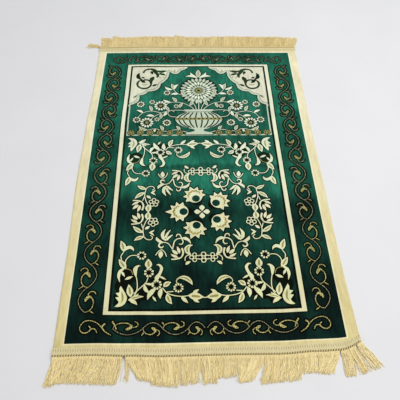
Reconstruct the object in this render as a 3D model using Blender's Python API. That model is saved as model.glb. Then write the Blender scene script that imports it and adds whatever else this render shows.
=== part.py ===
"""A fringed velour prayer rug lying flat: one woven panel with a fringe trim sewn on each end.

Metres, +Z up. The origin is on the floor under the middle of the panel. The rug's length runs
along Y, and its near end, where a person kneels, is at -Y.
"""

import math
import random
from collections import namedtuple

import bmesh
import bpy
from mathutils import Vector

# Driving sizes
RUG_WIDTH = 0.697          # across the cream borders
RUG_LENGTH = 1.079         # over the outer edges of the two heading tapes
PILE_THICKNESS = 0.0045    # backing cloth and velour pile together
HEADING_WIDTH = 0.020      # woven tape that carries the strands
HEADING_THICKNESS = 0.0014
TAPE_OVERHANG = 0.004      # how far the tape reaches past the panel's cut end
CLEARANCE = 0.0003         # between pieces that touch
LOCKS_PER_END = 140
LOCK_ROOT_WIDTH = 0.0036
LOCK_TIP_WIDTH = 0.0019
LOCK_THICKNESS = 0.0022
LOCK_DROP = 0.014          # a lock comes down to the floor within this length
LOCK_KNEE = 0.36           # share of its length that a lock runs square off the tape
LOCK_STATIONS = (0.16, 0.36, 0.68, 1.0)
LOCK_TIP_THINNING = 0.6    # share of a lock's thickness that is left at its tip
UNEVEN_ENDS = 0.0022       # how much longer or shorter single locks are
SEED = 7

# Mesh steps
PANEL_COLUMNS = 12
PANEL_ROWS = 24
TAPE_BACK_STEPS = 20
SHARP_ANGLE = math.radians(40)

# How the pile rounds off at the cut edge: distance in from it, and the share of the height there.
RimRow = namedtuple("RimRow", "inset share")
RIM = [
    RimRow(0.0000, 0.45),
    RimRow(0.0012, 0.80),
    RimRow(0.0040, 1.00),
]

# Where the cut sides wander from straight as the rug lies: along from -1 to 1, then the shifts
# of the left and of the right side.
SideRow = namedtuple("SideRow", "along left right")
SIDES = [
    SideRow(-1.00, 0.0040, 0.0040),
    SideRow(-0.55, 0.0030, -0.0005),
    SideRow(-0.10, -0.0015, 0.0005),
    SideRow(0.30, 0.0010, 0.0010),
    SideRow(0.65, 0.0065, 0.0030),
    SideRow(1.00, 0.0070, 0.0060),
]

# The same for the ends: across from -1 to 1, then the shifts of the near and of the far end.
EndRow = namedtuple("EndRow", "across near far")
ENDS = [
    EndRow(-1.00, 0.0040, -0.0035),
    EndRow(-0.75, 0.0043, -0.0020),
    EndRow(-0.50, 0.0010, 0.0010),
    EndRow(-0.28, -0.0015, -0.0005),
    EndRow(0.15, -0.0010, 0.0005),
    EndRow(0.48, -0.0020, -0.0015),
    EndRow(0.70, 0.0020, -0.0020),
    EndRow(1.00, 0.0050, -0.0015),
]

# The near right corner is rounded, and the trim turns up around it.
CORNER_TURN = 0.019
CORNER_ACROSS = 0.86
CORNER_ALONG = 0.90

# Creases where the rug was folded for storing, all straight across it.
Crease = namedtuple("Crease", "y height half_width")
CREASES = [
    Crease(0.006, 0.0014, 0.012),
    Crease(0.274, 0.0008, 0.018),
    Crease(-0.164, -0.0006, 0.030),
    Crease(-0.278, -0.0009, 0.020),
    Crease(0.080, -0.0005, 0.026),
]
CREASE_MARGIN = 0.035      # creases fade out this far before the heading tapes

# How the locks fell, in clumps from left to right. Roots and tips are places across the rug,
# and reach is how far past the tape's outer edge the tips lie.
Clump = namedtuple("Clump", "root_from root_to tip_from tip_to reach_from reach_to")
NEAR_CLUMPS = [
    Clump(-0.350, -0.334, -0.362, -0.351, 0.072, 0.063),
    Clump(-0.334, -0.262, -0.344, -0.262, 0.058, 0.055),
    Clump(-0.262, -0.187, -0.257, -0.199, 0.058, 0.061),
    Clump(-0.187, -0.110, -0.167, -0.112, 0.054, 0.061),
    Clump(-0.110, -0.010, -0.107, -0.019, 0.064, 0.058),
    Clump(-0.010, 0.062, -0.001, 0.058, 0.060, 0.048),
    Clump(0.062, 0.119, 0.071, 0.104, 0.060, 0.047),
    Clump(0.119, 0.140, 0.117, 0.128, 0.062, 0.060),
    Clump(0.140, 0.224, 0.137, 0.206, 0.060, 0.058),
    Clump(0.224, 0.262, 0.217, 0.249, 0.043, 0.042),
    Clump(0.262, 0.300, 0.254, 0.284, 0.051, 0.047),
    Clump(0.300, 0.323, 0.309, 0.324, 0.056, 0.058),
    Clump(0.323, 0.336, 0.342, 0.354, 0.061, 0.059),
    Clump(0.336, 0.360, 0.367, 0.390, 0.058, 0.050),
]
FAR_CLUMPS = [
    Clump(-0.350, -0.334, -0.391, -0.386, 0.006, 0.017),
    Clump(-0.334, -0.303, -0.334, -0.310, 0.060, 0.057),
    Clump(-0.303, -0.262, -0.296, -0.268, 0.071, 0.056),
    Clump(-0.262, -0.190, -0.261, -0.196, 0.058, 0.061),
    Clump(-0.190, -0.072, -0.187, -0.078, 0.061, 0.063),
    Clump(-0.072, -0.049, -0.070, -0.054, 0.073, 0.064),
    Clump(-0.049, 0.009, -0.048, 0.000, 0.061, 0.058),
    Clump(0.009, 0.120, 0.018, 0.117, 0.058, 0.062),
    Clump(0.120, 0.205, 0.123, 0.203, 0.064, 0.062),
    Clump(0.205, 0.300, 0.207, 0.301, 0.062, 0.061),
    Clump(0.300, 0.360, 0.306, 0.377, 0.061, 0.055),
]

GREEN = (0.012, 0.115, 0.075)
GOLD_CREAM = (0.68, 0.56, 0.29)


def clear_scene():
    for thing in list(bpy.data.objects):
        bpy.data.objects.remove(thing, do_unlink=True)


def cloth_material(name, colour, roughness):
    material = bpy.data.materials.new(name)
    material.use_nodes = True
    shader = material.node_tree.nodes["Principled BSDF"]
    shader.inputs["Base Color"].default_value = (*colour, 1.0)
    shader.inputs["Roughness"].default_value = roughness
    shader.inputs["Metallic"].default_value = 0.0
    return material


def ease(value):
    """A smooth step: 0 below 0, 1 above 1."""
    value = min(1.0, max(0.0, value))
    return value * value * (3.0 - 2.0 * value)


def read_rows(rows, place, column):
    """The column's value at a place on a table's first column, eased between its rows."""
    for before, after in zip(rows, rows[1:]):
        if place <= after[0]:
            share = ease((place - before[0]) / (after[0] - before[0]))
            start, end = getattr(before, column), getattr(after, column)
            return start + (end - start) * share
    return getattr(rows[-1], column)


def corner_turn(across, along):
    """How far the near right corner is drawn up."""
    turned = max(0.0, (across - CORNER_ACROSS) / (1.0 - CORNER_ACROSS))
    return CORNER_TURN * turned ** 2 * ease((-along - CORNER_ALONG) / (1.0 - CORNER_ALONG))


def lie_square(across, along, length):
    """Where a point of the rug would lie if all its corners were square; -1 to 1 each way."""
    left = -RUG_WIDTH / 2 + read_rows(SIDES, along, "left")
    right = RUG_WIDTH / 2 + read_rows(SIDES, along, "right")
    near = -length / 2 + read_rows(ENDS, across, "near")
    far = length / 2 + read_rows(ENDS, across, "far")
    x = left + (right - left) * (across + 1.0) / 2.0
    y = near + (far - near) * (along + 1.0) / 2.0
    return x, y


def lie(across, along, length=RUG_LENGTH):
    """Where a point of the rug lies on the floor; across and along run from -1 to 1."""
    x, y = lie_square(across, along, length)
    return x, y + corner_turn(across, along)


def crease_height(y):
    """Height of the creases' soft ridges and troughs across the rug at this y."""
    fade = ease((RUG_LENGTH / 2 - HEADING_WIDTH - abs(y)) / CREASE_MARGIN)
    total = sum(c.height * math.exp(-(((y - c.y) / c.half_width) ** 2)) for c in CREASES)
    return total * fade


def stations(steps, half_size, wanted=()):
    """Mesh lines from -1 to 1: the wanted ones, even ones clear of them, and the rim's."""
    edges = [1.0 - row.inset / half_size for row in RIM]
    even = [-1.0 + 2.0 * k / steps for k in range(1, steps)]
    clear = [e for e in even if all(abs(e - w) > 1.0 / steps for w in wanted)]
    return sorted([-e for e in edges] + clear + list(wanted) + edges)


def build_panel(material):
    """The velour panel: a flat underside, a creased top, and an edge where the pile rounds off."""
    length = RUG_LENGTH - 2 * TAPE_OVERHANG
    folds = [2 * (c.y + side * c.half_width) / length for c in CREASES for side in (-1, 0, 1)]
    columns = stations(PANEL_COLUMNS, RUG_WIDTH / 2)
    rows = stations(PANEL_ROWS, length / 2, folds)
    bm = bmesh.new()
    grid = []
    for r, along in enumerate(rows):
        line = []
        for c, across in enumerate(columns):
            x, y = lie(across, along, length)
            ring = min(r, c, len(rows) - 1 - r, len(columns) - 1 - c)
            share = RIM[min(ring, len(RIM) - 1)].share
            height = (PILE_THICKNESS + crease_height(y)) * share
            line.append(bm.verts.new((x, y, height)))
        grid.append(line)
    for r in range(len(rows) - 1):
        for c in range(len(columns) - 1):
            corners = (grid[r][c], grid[r][c + 1], grid[r + 1][c + 1], grid[r + 1][c])
            bm.faces.new(corners)
    outline = [edge for edge in bm.edges if edge.is_boundary]
    skirt = bmesh.ops.extrude_edge_only(bm, edges=outline)["geom"]
    for item in skirt:
        if isinstance(item, bmesh.types.BMVert):
            item.co.z = 0.0
    hem = [edge for edge in bm.edges if edge.is_boundary]
    bmesh.ops.contextual_create(bm, geom=hem)
    bmesh.ops.recalc_face_normals(bm, faces=bm.faces[:])
    finish_piece(bm, "pile_panel", material)


def finish_piece(bm, name, material):
    mesh = bpy.data.meshes.new(name)
    bm.to_mesh(mesh)
    bm.free()
    mesh.materials.append(material)
    mesh.shade_smooth()
    mesh.set_sharp_from_angle(angle=SHARP_ANGLE)
    bpy.context.collection.objects.link(bpy.data.objects.new(name, mesh))


def tape_edge(across, end):
    """A point of the heading's outer edge and the direction that points away from the rug."""
    beside = LOCK_ROOT_WIDTH / 2 / RUG_WIDTH
    x, y = lie(across, end)
    x_before, y_before = lie(max(-1.0, across - beside), end)
    x_after, y_after = lie(min(1.0, across + beside), end)
    run = Vector((x_after - x_before, y_after - y_before, 0.0)).normalized()
    outward = Vector((run.y, -run.x, 0.0)) * -end
    return Vector((x, y, 0.0)), outward


def clump_tip(clumps, root_x, end_y, end):
    """Where the lock that is rooted at root_x ends on the floor."""
    for clump in clumps:
        if root_x <= clump.root_to:
            break
    share = (root_x - clump.root_from) / (clump.root_to - clump.root_from)
    x = clump.tip_from + (clump.tip_to - clump.tip_from) * share
    reach = clump.reach_from + (clump.reach_to - clump.reach_from) * share
    return Vector((x, end_y + end * reach, 0.0))


def lock_path(root, outward, tip):
    """The floor line of a lock: it leaves the tape square and bends over to its tip."""
    knee = root + outward * (tip - root).length * LOCK_KNEE
    points = []
    for s in LOCK_STATIONS:
        place = root * (1 - s) ** 2 + knee * 2 * s * (1 - s) + tip * s ** 2
        heading = (knee - root) * (1 - s) + (tip - knee) * s
        points.append((place, heading.normalized()))
    return points


def grow_lock(bm, face, root, outward, tip, tape_bottom):
    """Extrude one root face of the tape along its lock, down to the floor and out to the tip."""
    points = lock_path(root, outward, tip)
    length = (tip - root).length
    for place, heading in points:
        gone = (place - root).length
        down = ease(gone / LOCK_DROP)
        along = min(1.0, gone / length)
        width = LOCK_ROOT_WIDTH + (LOCK_TIP_WIDTH - LOCK_ROOT_WIDTH) * along
        bottom = tape_bottom * (1.0 - down)
        thick = HEADING_THICKNESS + (LOCK_THICKNESS - HEADING_THICKNESS) * down
        if along >= 1.0:
            thick *= LOCK_TIP_THINNING
        side = Vector((-heading.y, heading.x, 0.0))
        middle_height = sum(v.co.z for v in face.verts) / 4
        old = [(v.co.copy(), v.co.z > middle_height) for v in face.verts]
        centre = sum((co for co, _ in old), Vector()) / 4
        face = bmesh.ops.extrude_discrete_faces(bm, faces=[face])["faces"][0]
        for vert, (co, upper) in zip(face.verts, old):
            hand = 1.0 if (co - centre).dot(side) > 0 else -1.0
            spot = place + side * (hand * width / 2)
            vert.co = (spot.x, spot.y, bottom + (thick if upper else 0.0))


def build_fringe(name, end, clumps, material):
    """Heading tape and locks in one body: end is -1 for the near trim and 1 for the far one."""
    rng = random.Random(SEED + end)
    tape_bottom = PILE_THICKNESS + CLEARANCE
    tape_top = tape_bottom + HEADING_THICKNESS
    half = LOCK_ROOT_WIDTH / RUG_WIDTH      # half a root, where the rug is 2 wide
    first = -1.0 + 1.5 * half               # a little tape is left bare at each side
    pitch = -2.0 * first / (LOCKS_PER_END - 1)
    roots = [first + k * pitch for k in range(LOCKS_PER_END)]

    outer = [-1.0]
    for place in roots:
        outer += [place - half, place + half]
    outer.append(1.0)
    inner = [1.0 - 2.0 * k / TAPE_BACK_STEPS for k in range(TAPE_BACK_STEPS + 1)]

    bm = bmesh.new()
    rings = []
    for level in (tape_bottom, tape_top):
        ring = []
        for across in outer:
            spot, _ = tape_edge(across, end)
            ring.append(bm.verts.new((spot.x, spot.y, level)))
        for across in inner:
            x, y = lie_square(across, end, RUG_LENGTH)
            ring.append(bm.verts.new((x, y - end * HEADING_WIDTH, level)))
        bm.faces.new(ring)
        rings.append(ring)
    low, high = rings
    walls = []
    for k in range(len(low)):
        after = (k + 1) % len(low)
        walls.append(bm.faces.new((low[k], low[after], high[after], high[k])))
    bmesh.ops.recalc_face_normals(bm, faces=bm.faces[:])

    for k, place in enumerate(roots):
        root, outward = tape_edge(place, end)
        tip = clump_tip(clumps, root.x, root.y, end)
        tip += outward * rng.uniform(-UNEVEN_ENDS, UNEVEN_ENDS)
        grow_lock(bm, walls[2 * k + 1], root, outward, tip, tape_bottom)
    finish_piece(bm, name, material)


clear_scene()
build_panel(cloth_material("green_velour", GREEN, 0.85))
build_fringe("fringe_near", -1, NEAR_CLUMPS, cloth_material("cream_yarn_near", GOLD_CREAM, 0.80))
build_fringe("fringe_far", 1, FAR_CLUMPS, cloth_material("cream_yarn_far", GOLD_CREAM, 0.80))
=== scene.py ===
import math
import random
from collections import namedtuple

import bmesh
import bpy
import numpy as np
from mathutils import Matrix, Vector
from mathutils.geometry import delaunay_2d_cdt


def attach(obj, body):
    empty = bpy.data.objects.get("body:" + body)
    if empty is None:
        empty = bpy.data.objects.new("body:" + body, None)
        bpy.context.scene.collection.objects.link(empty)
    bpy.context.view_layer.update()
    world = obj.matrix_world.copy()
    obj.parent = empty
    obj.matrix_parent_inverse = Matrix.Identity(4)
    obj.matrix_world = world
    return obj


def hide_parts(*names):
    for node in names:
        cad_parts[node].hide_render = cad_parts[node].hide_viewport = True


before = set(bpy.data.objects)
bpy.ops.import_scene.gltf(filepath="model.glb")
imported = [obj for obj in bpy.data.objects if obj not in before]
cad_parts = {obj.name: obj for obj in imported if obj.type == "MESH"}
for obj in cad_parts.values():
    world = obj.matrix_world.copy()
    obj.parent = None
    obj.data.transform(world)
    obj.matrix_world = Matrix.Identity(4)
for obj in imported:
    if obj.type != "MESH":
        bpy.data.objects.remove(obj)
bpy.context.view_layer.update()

# The view. The rug lies on a seamless pale studio floor under one very large soft box, and the
# camera looks down on it from above its near end.
CAMERA_LENS_MM = 40.625
CAMERA_AT_M = (-0.04374, -0.81944, 1.02986)
CAMERA_TURN_DEG = (34.298, -1.121, -1.586)
FLOOR_M = 7.0
FLOOR_DROP_M = 0.0003          # the floor lies this far under the cloth
FLOOR_GREY = "#e8e8e9"
FLOOR_MOTTLE = "#e0e0e2"
SOFT_BOX_M = 2.6
SOFT_BOX_AT_M = (0.9, 0.1, 2.6)
SOFT_BOX_WATTS = 54.0
ROOM_GREY = "#f6f6f7"
ROOM_STRENGTH = 0.54


def linear(hex_colour):
    """An sRGB hex colour as linear red, green, blue and alpha."""
    parts = [int(hex_colour[k:k + 2], 16) / 255 for k in (1, 3, 5)]
    return (*[p / 12.92 if p <= 0.04045 else ((p + 0.055) / 1.055) ** 2.4 for p in parts], 1.0)


def feed(tree, node, inputs):
    """Fill a node's sockets, each with a value or with a link from a socket or a node."""
    for key, value in inputs.items():
        if isinstance(value, bpy.types.Node):
            value = next(socket for socket in value.outputs if socket.enabled)
        if isinstance(value, bpy.types.NodeSocket):
            tree.links.new(value, node.inputs[key])
        else:
            node.inputs[key].default_value = value
    return node


def add(tree, kind, inputs={}, **settings):
    """Add a node with its settings and links."""
    made = tree.nodes.new(kind)
    for name, value in settings.items():
        setattr(made, name, value)
    return feed(tree, made, inputs)


def new_material(name):
    """An empty material: its tree, its shader and the output of its object coordinates."""
    material = bpy.data.materials.new(name)
    material.use_nodes = True
    tree = material.node_tree
    place = add(tree, "ShaderNodeTexCoord").outputs["Object"]
    return material, tree, tree.nodes["Principled BSDF"], place


def put(name, data):
    """An object of that name in the scene."""
    made = bpy.data.objects.new(name, data)
    bpy.context.collection.objects.link(made)
    return made


def paper_floor():
    """Matt backdrop paper, rolled smooth: nearly white, with the faintest mottling."""
    material, tree, shader, place = new_material("matt_backdrop_paper")
    cloud = add(tree, "ShaderNodeTexNoise", {"Vector": place, "Scale": 5.0, "Detail": 4.0})
    tint = add(tree, "ShaderNodeMix", {
        "Factor": cloud, "A": linear(FLOOR_GREY), "B": linear(FLOOR_MOTTLE)}, data_type="RGBA")
    feed(tree, shader, {"Base Color": tint, "Roughness": 0.75})
    return material


camera = put("view", bpy.data.cameras.new("view"))
camera.data.lens = CAMERA_LENS_MM
camera.location = CAMERA_AT_M
camera.rotation_euler = [math.radians(turn) for turn in CAMERA_TURN_DEG]
bpy.context.scene.camera = camera
bpy.context.scene.view_settings.view_transform = "Standard"

floor_mesh = bpy.data.meshes.new("floor")
floor_mesh.from_pydata([(x * FLOOR_M / 2, y * FLOOR_M / 2, -FLOOR_DROP_M)
                        for x, y in ((-1, -1), (1, -1), (1, 1), (-1, 1))], [], [(0, 1, 2, 3)])
floor_mesh.materials.append(paper_floor())
put("floor", floor_mesh)

soft_box = put("soft_box", bpy.data.lights.new("soft_box", "AREA"))
soft_box.data.size = SOFT_BOX_M
soft_box.data.energy = SOFT_BOX_WATTS
soft_box.location = SOFT_BOX_AT_M
soft_box.rotation_euler = Vector(SOFT_BOX_AT_M).to_track_quat("Z", "Y").to_euler()

room = bpy.data.worlds.new("room")
room.use_nodes = True
feed(room.node_tree, room.node_tree.nodes["Background"],
     {"Color": linear(ROOM_GREY), "Strength": ROOM_STRENGTH})
bpy.context.scene.world = room

# The velour panel. One cloth, woven double and cut apart, so that a short polyester pile stands on
# a thin backing; the whole pattern is pile of other colours in the same cloth. It lies flat, with
# soft creases straight across from its folding. The pattern is drawn in millimetres as woven.
WIDTH = 697.0
LENGTH = 1071.0
PILE = 4.5
MM = 0.001
GRID_X = 10.0
GRID_Y = 7.0
RIM_INSETS = (0.0, 1.2, 4.0)   # the pile falls off to the cut sides by these shares
RIM_SHARES = (0.45, 0.80, 1.00)
FIELD_X = 321.5                # half sizes of the green field inside the cream border
FIELD_Y = 510.0
MIDDLE_Y = -158.0              # the flowers of the lower field mirror about this line

# How the cloth wanders from straight as it lies: along from -1 to 1, then the shifts of the left
# cut side, the green field's left and right sides, and the right cut side.
SIDES = [(-1.00, 4.0, 0.5, 0.0, 4.0), (-0.55, 3.0, 0.5, 0.0, -0.5), (-0.10, -1.5, 0.5, 0.0, 0.5),
         (0.30, 1.0, 0.5, 0.5, 1.0), (0.65, 6.5, 4.5, 2.5, 3.0), (1.00, 7.0, 7.5, 3.5, 6.0)]
# Across from -1 to 1, then the shifts of the near and the far cut end.
ENDS = [(-1.00, 4.0, -3.5), (-0.75, 4.3, -2.0), (-0.50, 1.0, 1.0), (-0.28, -1.5, -0.5),
        (0.15, -1.0, 0.5), (0.48, -2.0, -1.5), (0.70, 2.0, -2.0), (1.00, 5.0, -1.5)]
FIELD_END_SHARE = 0.6          # the field's ends wander this much as the cut ends do
CORNER_TURN = 19.0             # the near right corner is drawn up and round
CORNER_ACROSS = 0.86
CORNER_ALONG = 0.90
CREASES = [(6.0, 1.4, 12.0), (274.0, 0.8, 18.0), (-164.0, -0.6, 30.0), (-278.0, -0.9, 20.0),
           (80.0, -0.5, 26.0)]  # y, height over the cloth round it and half width
CREASE_END = 519.5             # the creases have faded out here, under the heading tapes
CREASE_FADE = 35.0
RIPPLE = 0.22                  # slow unevenness of the pile


def ease(value):
    value = np.clip(value, 0.0, 1.0)
    return value * value * (3.0 - 2.0 * value)


def steps_of(knots, places):
    """The knot before each place, and the share of the step to the next one."""
    knots = np.array(knots)
    k = np.clip(np.searchsorted(knots, places) - 1, 0, len(knots) - 2)
    return k, (places - knots[k]) / (knots[k + 1] - knots[k])


def read_rows(rows, places):
    """Each column's values at places on a table's first column, eased between its rows."""
    at, *columns = np.array(rows).T
    k, share = steps_of(at, places)
    return [values[k] + (values[k + 1] - values[k]) * ease(share) for values in columns]


def between(knots, shifts, places):
    """Shifts that each place has at every knot, taken straight between the knots beside it."""
    k, share = steps_of(knots, places)
    own = np.arange(len(places))
    shifts = np.array(shifts)
    return shifts[k, own] * (1 - share) + shifts[k + 1, own] * share


def lie(x, y):
    """Where points of the woven pattern lie on the floor, all in millimetres."""
    across, along = x / (WIDTH / 2), y / (LENGTH / 2)
    sides = read_rows(SIDES, along)
    near, far = read_rows(ENDS, across)
    ends = [near, near * FIELD_END_SHARE, far * FIELD_END_SHARE, far]
    turned = np.maximum(0.0, (across - CORNER_ACROSS) / (1 - CORNER_ACROSS))
    up = CORNER_TURN * turned ** 2 * ease((-along - CORNER_ALONG) / (1 - CORNER_ALONG))
    shift_x = between([-WIDTH / 2, -FIELD_X, FIELD_X, WIDTH / 2], sides, x)
    shift_y = between([-LENGTH / 2, -FIELD_Y, FIELD_Y, LENGTH / 2], ends, y)
    return x + shift_x, y + shift_y + up


def pile_height(x, y):
    """Height of the pile's tips over the floor, in millimetres, at points of the pattern."""
    lift = sum(height * np.exp(-(((y - at) / half) ** 2)) for at, height, half in CREASES)
    lift = lift * (1.0 + 0.18 * np.sin(x / 71.0 + 0.8))
    lift = lift + RIPPLE * np.sin(x / 47.0 + y / 90.0) * np.sin(y / 61.0 - x / 130.0)
    lift = lift * ease((CREASE_END - np.abs(y)) / CREASE_FADE)
    inset = np.minimum(WIDTH / 2 - np.abs(x), LENGTH / 2 - np.abs(y))
    return (PILE + lift) * np.interp(inset, RIM_INSETS, RIM_SHARES)


# The pattern is a list of closed outlines, each in one yarn, painted over one another by level.
Patch = namedtuple("Patch", "level yarn outline")
GROUND, SHADOW, BODY, VEIN, EYE = range(5)
HALO = 3.0                     # dark pile that rings every figure
HALO_TIP = 0.6                 # it narrows to this share at both ends of a band
LEAF_STEPS = 10
VEIN_SHARE = 0.33              # of the leaf's width


def smooth(points, steps=5):
    """A smooth line through the points."""
    p = np.array(points, float)
    ends = np.vstack([2 * p[0] - p[1], p, 2 * p[-1] - p[-2]])
    t = (np.arange(steps) / steps)[:, None]
    runs = [0.5 * (2 * b + (c - a) * t + (2 * a - 5 * b + 4 * c - d) * t ** 2
                   + (3 * b - a - 3 * c + d) * t ** 3)
            for a, b, c, d in zip(ends, ends[1:], ends[2:], ends[3:])]
    return np.vstack(runs + [p[-1:]])


def sideways(path):
    """A step of one to the left of the path at each of its points."""
    run = np.gradient(path, axis=0)
    run /= np.maximum(np.linalg.norm(run, axis=1), 1e-9)[:, None]
    return np.stack([-run[:, 1], run[:, 0]], axis=1)


def ribbon(path, half):
    """The closed outline of a band along a path, with its half width, one or at each point."""
    side = sideways(path) * np.reshape(half, (-1, 1))
    return np.vstack([path + side, (path - side)[::-1]])


def band(path, half, yarn, halo, vein=None, inner=slice(0)):
    """A band in one yarn with its dark ring, and a vein along the inner part of its path."""
    patches = [Patch(BODY, yarn, ribbon(path, half))]
    if halo:
        before, after = path[0] - path[1], path[-1] - path[-2]
        longer = np.vstack([path[0] + before / np.linalg.norm(before) * halo, path,
                            path[-1] + after / np.linalg.norm(after) * halo])
        wider = np.concatenate([[half[0]], half, [half[-1]]]) + halo
        wider[[0, -1]] *= HALO_TIP
        patches.append(Patch(SHADOW, "shadow", ribbon(longer, wider)))
    if vein:
        patches.append(Patch(VEIN, vein, ribbon(path[inner], half[inner] * VEIN_SHARE)))
    return patches


def vine(points, width, thin=0.6, yarn="cream", halo=HALO, steps=5):
    """A stem through the points, thinning to a share of its width."""
    path = smooth(points, steps)
    return band(path, width / 2 * np.linspace(1.0, thin, len(path)), yarn, halo)


def leaf(base, tip, width, bend=0.0, belly=0.45, yarn="cream", vein=None, halo=HALO):
    """A leaf or petal: bend bows it to its left by that share, and belly is its widest place."""
    base, tip = np.array(base, float), np.array(tip, float)
    run = tip - base
    t = np.linspace(0.0, 1.0, LEAF_STEPS)
    bow = np.outer(4 * bend * t * (1 - t), (-run[1], run[0]))
    path = base + np.outer(t, run) + bow
    half = np.maximum(width / 2 * np.sin(np.pi * t ** (math.log(0.5) / math.log(belly))), 0.2)
    return band(path, half, yarn, halo, vein, slice(2, -2))


def leaves(rows, yarn="cream"):
    """A leaf for each row, in that yarn where it has a vein and in cream where it has none."""
    parts = []
    for u0, v0, u1, v1, width, bend, vein in rows:
        parts += leaf((u0, v0), (u1, v1), width, bend, yarn=yarn if vein else "cream",
                      vein="tan" if vein else None)
    return parts


def plume(rows, yarn="cream", vein=None, halo=HALO, steps=4):
    """A curled leaf along a line: x, y and its width at each point."""
    rows = np.array(rows, float)
    path = smooth(rows[:, :2], steps)
    at = np.arange(len(path)) / steps
    half = np.interp(at, np.arange(len(rows)), rows[:, 2]) / 2
    return band(path, half, yarn, halo, vein, slice(steps, -steps))


def disc(centre, radius, yarn="cream", level=BODY, corners=14, halo=0.0):
    a = np.arange(corners) / corners * 2 * math.pi
    ring = np.stack([np.cos(a), np.sin(a)], axis=1)
    patches = [Patch(level, yarn, np.array(centre) + ring * radius)]
    if halo:
        patches.append(Patch(SHADOW, "shadow", np.array(centre) + ring * (radius + halo)))
    return patches


def moved(patches, at=(0.0, 0.0), turn=0.0, size=1.0, hand=(1.0, 1.0)):
    """The patches mirrored by hand, scaled, turned by degrees and moved, in that order."""
    c, s = math.cos(math.radians(turn)) * size, math.sin(math.radians(turn)) * size
    matrix = np.array([[c, s], [-s, c]])
    return [p._replace(outline=(p.outline * hand) @ matrix + np.array(at)) for p in patches]


def both_sides(patches):
    """The patches and their mirror image across the middle of the rug."""
    return patches + moved(patches, hand=(-1.0, 1.0))


def box_outline(x0, y0, x1, y1, step=9.0):
    """A rectangle with points along its sides, so that it can follow the lie of the cloth."""
    corners = [(x0, y0), (x1, y0), (x1, y1), (x0, y1), (x0, y0)]
    runs = []
    for a, b in zip(corners, corners[1:]):
        parts = max(1, round(math.dist(a, b) / step))
        runs += [np.linspace(a, b, parts + 1)[:-1]]
    return np.vstack(runs)


NICHE_X = 223.5                # half width and far end of the field that holds the niche
NICHE_TOP = 432.5

# Plain grounds and lines, from the cream border inwards: half width, near end and far end.
pattern = [Patch(GROUND, yarn, box_outline(-half, near, half, far)) for yarn, half, near, far in [
    ("ivory", FIELD_X + 3.5, -FIELD_Y - 3.5, FIELD_Y + 3.5), ("band", FIELD_X, -FIELD_Y, FIELD_Y),
    ("shadow", 243.8, -446.6, 449.0), ("stripe", 240.8, -443.6, 446.3),
    ("shadow", 229.5, -435.5, 438.5), ("green", NICHE_X, -429.5, NICHE_TOP),
    ("silver", 222.0, 118.0, NICHE_TOP), ("green", 218.0, 122.0, NICHE_TOP),
]]


# Border scroll: a wave along each band, and in each of its bays a branch that rolls up inside.
SCROLL_X = 283.5               # middle of a side band
SCROLL_BAYS = 14
SCROLL_REACH = 437.5           # the side scrolls run this far to both ends
SCROLL_SWING = 18.5            # height of the wave in a side band, and in an end band
END_SWING = 14.0
BRIGHT_BAYS = 4                # bays at the near end, whose line is brighter
SCROLL_HALO = 4.4              # dark ring of a bright line, and of a dim one
DIM_HALO = 5.4
END_ROWS = [(-476.5, -1.0, "gold", 0.85), (475.5, 1.0, "bronze", 0.72)]   # y, way up, yarn, weight
END_BAYS = [(215.0, 146.0), (146.0, 100.0), (100.0, 41.0), (41.0, 3.0)]   # x of its two ends
WAVE_WIDTH = 1.6
# Branches in a bay: x and y as shares of the bay, and width along the branch. The curl comes
# first, then the hook on its back and the tail at its foot.
BRANCHES = [
    [(0.01, -0.06, 1.4), (0.05, -0.45, 1.6), (0.18, -0.84, 1.9), (0.37, -0.97, 2.2),
     (0.53, -0.8, 2.6), (0.62, -0.42, 2.8), (0.6, -0.2, 2.2)],
    [(0.58, -0.34, 2), (0.72, -0.2, 2), (0.83, -0.5, 2), (0.81, -0.98, 2.2), (0.71, -1.2, 1.6)],
    [(0.07, -0.55, 0.6), (0.01, -0.85, 2.6), (-0.05, -1.15, 0.8)],
]
HEART = [(0.56, -0.7, 2), (0.62, -0.46, 5.5), (0.59, -0.16, 8), (0.5, 0.06, 6.5), (0.42, 0.1, 2)]
END_CURLS = [                  # x, y, width beyond the last bay: a fork, the corner's spiral
    [(233, -12, 4.4), (240, -4, 3.2), (232, 7, 2.8), (218, 15, 1.4)],
    [(217, -18, 2), (211, -8, 3.6), (206, 3, 1.6)],
    [(241, -3, 1.8), (252, -13, 1.8), (268, -19, 1.8), (282, -17, 2), (290, -6, 2.2), (289, 4, 2.2),
     (280, 10, 2.4), (270, 7, 2.6), (265, 0, 3.2), (271, -7, 2)],
    [(265, 0, 2.4), (256, 1, 2.4), (250, 10, 1.4)],
]


def scroll_bay(length, swing, line, heart, weight, halo):
    """One bay along x from 0 to its length, with the wave bulging up by its swing."""
    t = np.linspace(0.0, 1.0, 9)
    wave = np.stack([t, np.sin(np.pi * t) ** 0.8], axis=1) * (length, swing)
    parts = vine(wave, WAVE_WIDTH * weight ** 2, 1.0, "bronze", halo, 2)
    for rows in [*BRANCHES, HEART]:
        parts += plume(np.array(rows) * (length, swing, weight),
                       heart if rows is HEART else line, halo=halo, steps=3)
    return parts


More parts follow.
